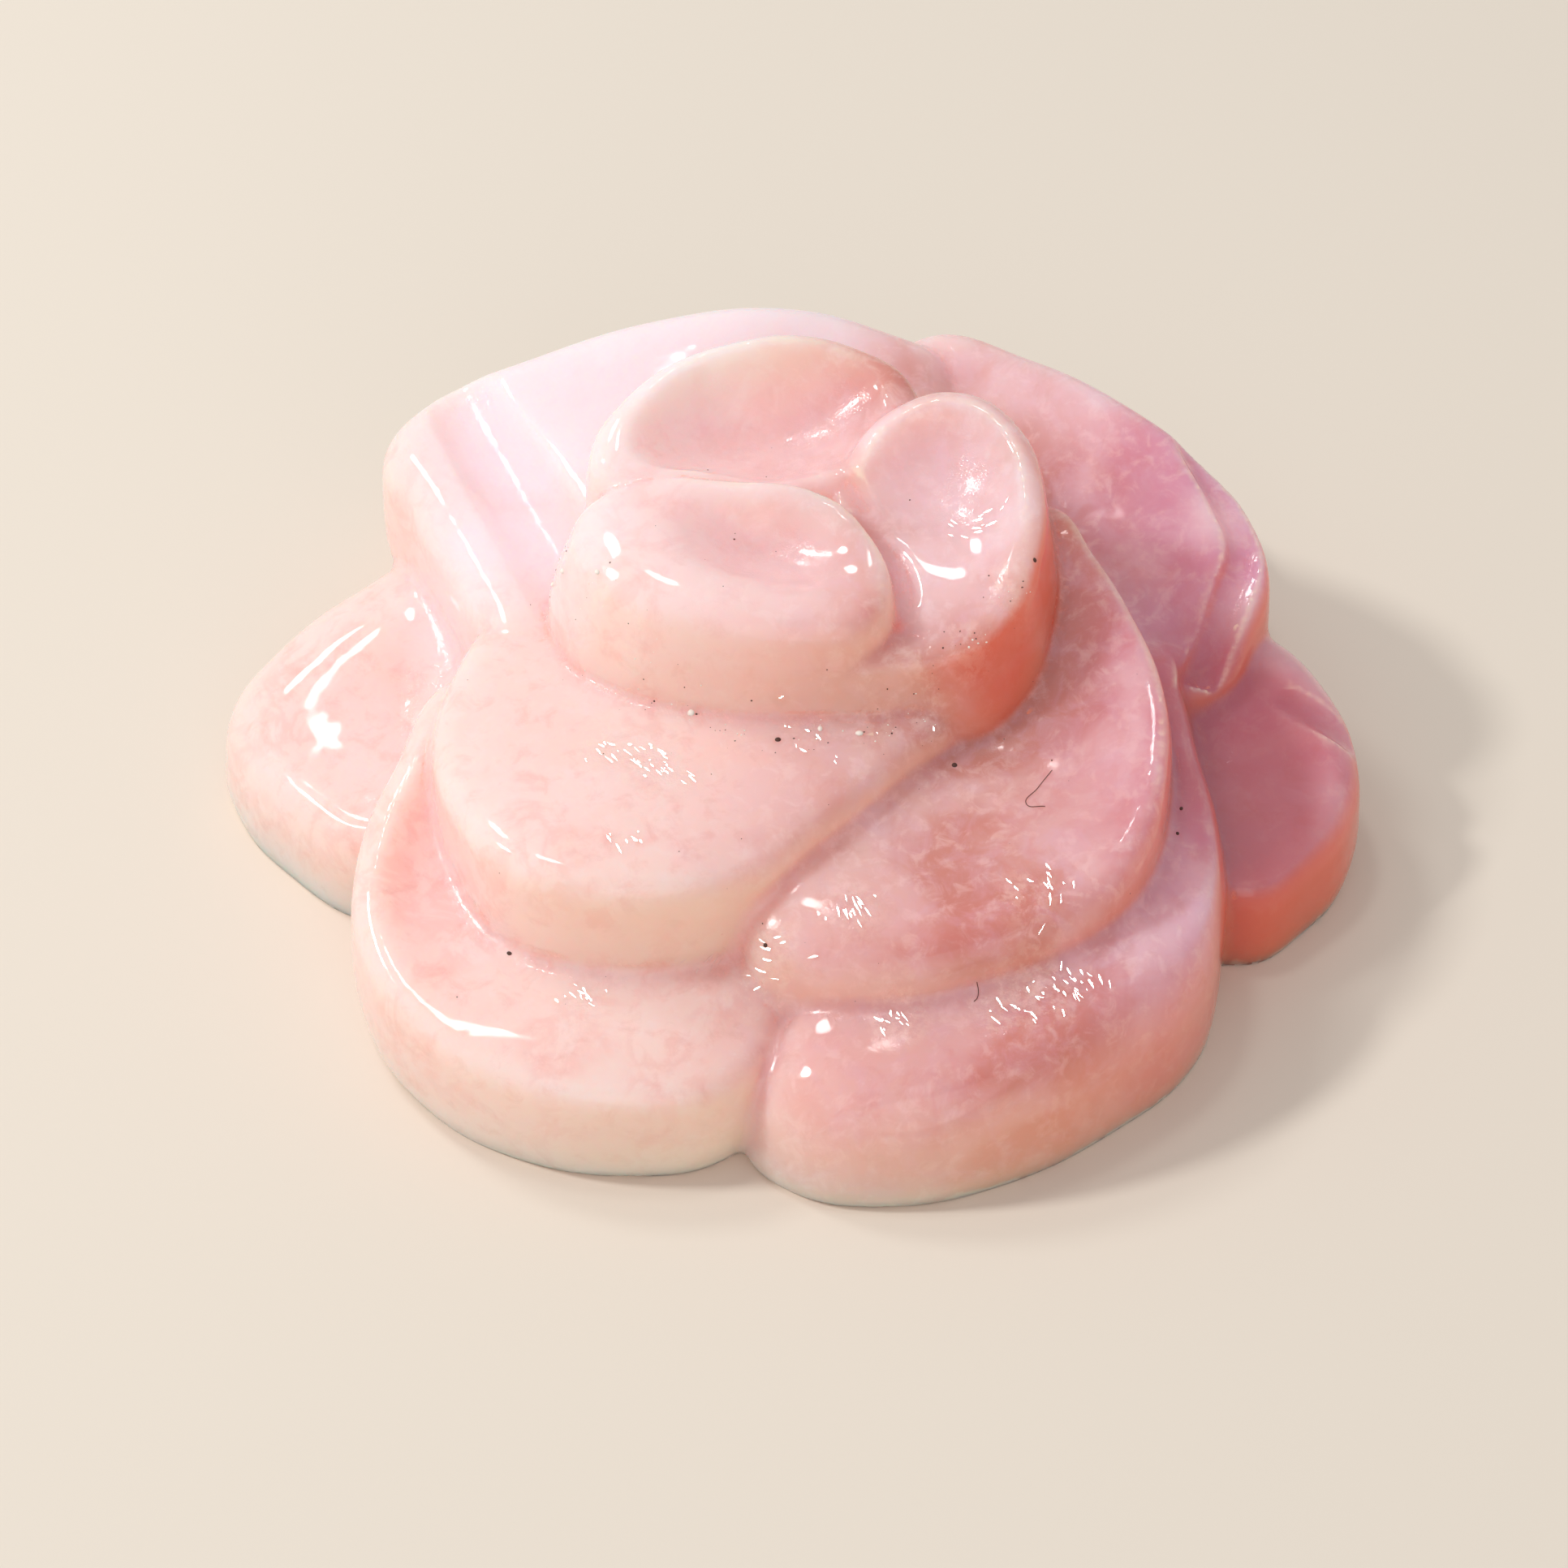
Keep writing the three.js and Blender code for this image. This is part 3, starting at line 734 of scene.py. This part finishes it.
# Each cluster has its x and y, its spread in millimetres and its number of nicks.
SCUFFS = ((-5.2, -7.6, 0.6, 20), (-4.2, -8.5, 0.5, 18), (-5.2, -11.4, 0.35, 8), (2.3, -12.8, 0.45, 22),
          (8.2, -12.3, 0.6, 18), (9.0, -14.7, 0.7, 26), (7.4, -15.4, 0.5, 14), (-6.8, -14.5, 0.4, 12),
          (-2.3, -13.3, 0.35, 10), (3.6, -15.7, 0.4, 12), (-0.4, -13.6, 0.4, 12), (1.5, -6.9, 1.1, 12),
          (6.3, -0.8, 0.5, 16))
LIGHT_AT = Vector((-0.292, 0.012, 0.278))
VIEWED_FROM = Vector((0, -0.0794, 0.0794))
NICK_DEPTH = 0.02
NICK_LENGTHS = (0.03, 0.24)
NICK_WIDTHS = (0.012, 0.05)
UNEVEN = 0.012
ASKEW = 0.2
nicks = []
start_fresh()
for x, y, spread, count in SCUFFS:
    for turn in range(count):
        point, normal = on_rose(x + rng.normal(0, spread), y + rng.normal(0, 0.6 * spread))
        halfway = (LIGHT_AT - point).normalized() + (VIEWED_FROM - point).normalized()
        flash = (halfway.normalized() + Vector(rng.normal(0, UNEVEN, 3))).normalized()
        along = (normal.cross(flash).normalized() + flash.orthogonal() * rng.normal(0, ASKEW)).normalized()
        along = (along - flash * along.dot(flash)).normalized()
        turned = Matrix((along, flash.cross(along), flash)).transposed().to_euler()
        bpy.ops.mesh.primitive_cylinder_add(
            vertices=8, radius=MM, depth=NICK_DEPTH * MM, location=point, rotation=turned,
            scale=(rng.uniform(*NICK_LENGTHS), rng.uniform(*NICK_WIDTHS), 1),
        )
        nicks.append(bpy.context.object)
scuffs = as_one_piece(nicks, "polish_scuffs")
scuffed = opal.copy()
scuffed.name = "scuffed opal"
scuffed.node_tree.nodes["Principled BSDF"].inputs["Subsurface Weight"].default_value = 0.0
scuffs.data.materials.append(scuffed)
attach(scuffs, "root")

# The floor is plain and pale.
FLOOR = 3.0
start_fresh()
bpy.ops.mesh.primitive_plane_add(size=FLOOR)
floor = bpy.context.object
floor.name = "floor"
paper = bpy.data.materials.new("pale paper")
paper.use_nodes = True
paper.node_tree.nodes["Principled BSDF"].inputs["Base Color"].default_value = (0.76, 0.71, 0.63, 1)
paper.node_tree.nodes["Principled BSDF"].inputs["Roughness"].default_value = 0.8
floor.data.materials.append(paper)

# Soft studio light in a pale room: a key from the left, two weaker panels overhead and behind on the left,
# and a wide fill from the front.
MIDDLE = Vector((0, 0, 0.006))
ROOM_COLOR = (1.0, 0.95, 0.92, 1)
ROOM_STRENGTH = 0.54


def lamp(name, direction, distance, size, power, color):
    light = bpy.data.lights.new(name, "AREA")
    light.shape = "DISK"
    light.size = size
    light.energy = power
    light.color = color
    panel = bpy.data.objects.new(name, light)
    bpy.context.collection.objects.link(panel)
    panel.location = MIDDLE + Vector(direction).normalized() * distance
    panel.rotation_euler = (MIDDLE - panel.location).to_track_quat("-Z", "Y").to_euler()


lamp("key", (-0.74, 0.03, 0.69), distance=0.4, size=0.05, power=0.66, color=(1.0, 0.97, 0.93))
lamp("overhead", (-0.24, 0.2, 0.95), distance=0.5, size=0.07, power=0.2, color=(1.0, 0.98, 0.96))
lamp("front fill", (0.1, -0.85, 0.4), distance=0.5, size=0.4, power=0.4, color=(1.0, 0.97, 0.93))
lamp("window", (-0.49, 0.43, 0.76), distance=0.5, size=0.09, power=0.36, color=(1.0, 0.98, 0.97))
world = bpy.data.worlds.new("room")
bpy.context.scene.world = world
world.use_nodes = True
world.node_tree.nodes["Background"].inputs["Color"].default_value = ROOM_COLOR
world.node_tree.nodes["Background"].inputs["Strength"].default_value = ROOM_STRENGTH
bpy.context.scene.view_settings.view_transform = "Standard"

# The camera looks down at the rose from in front, halfway between level and overhead.
ELEVATION = math.radians(45)
DISTANCE = 0.1123
camera_data = bpy.data.cameras.new("camera")
camera = bpy.data.objects.new("camera", camera_data)
bpy.context.collection.objects.link(camera)
camera_data.lens = 70
camera_data.sensor_width = 36
camera_data.clip_start = 0.005
camera.location = (0, -DISTANCE * math.cos(ELEVATION), DISTANCE * math.sin(ELEVATION))
camera.rotation_euler = (math.pi / 2 - ELEVATION, 0, 0)
bpy.context.scene.camera = camera
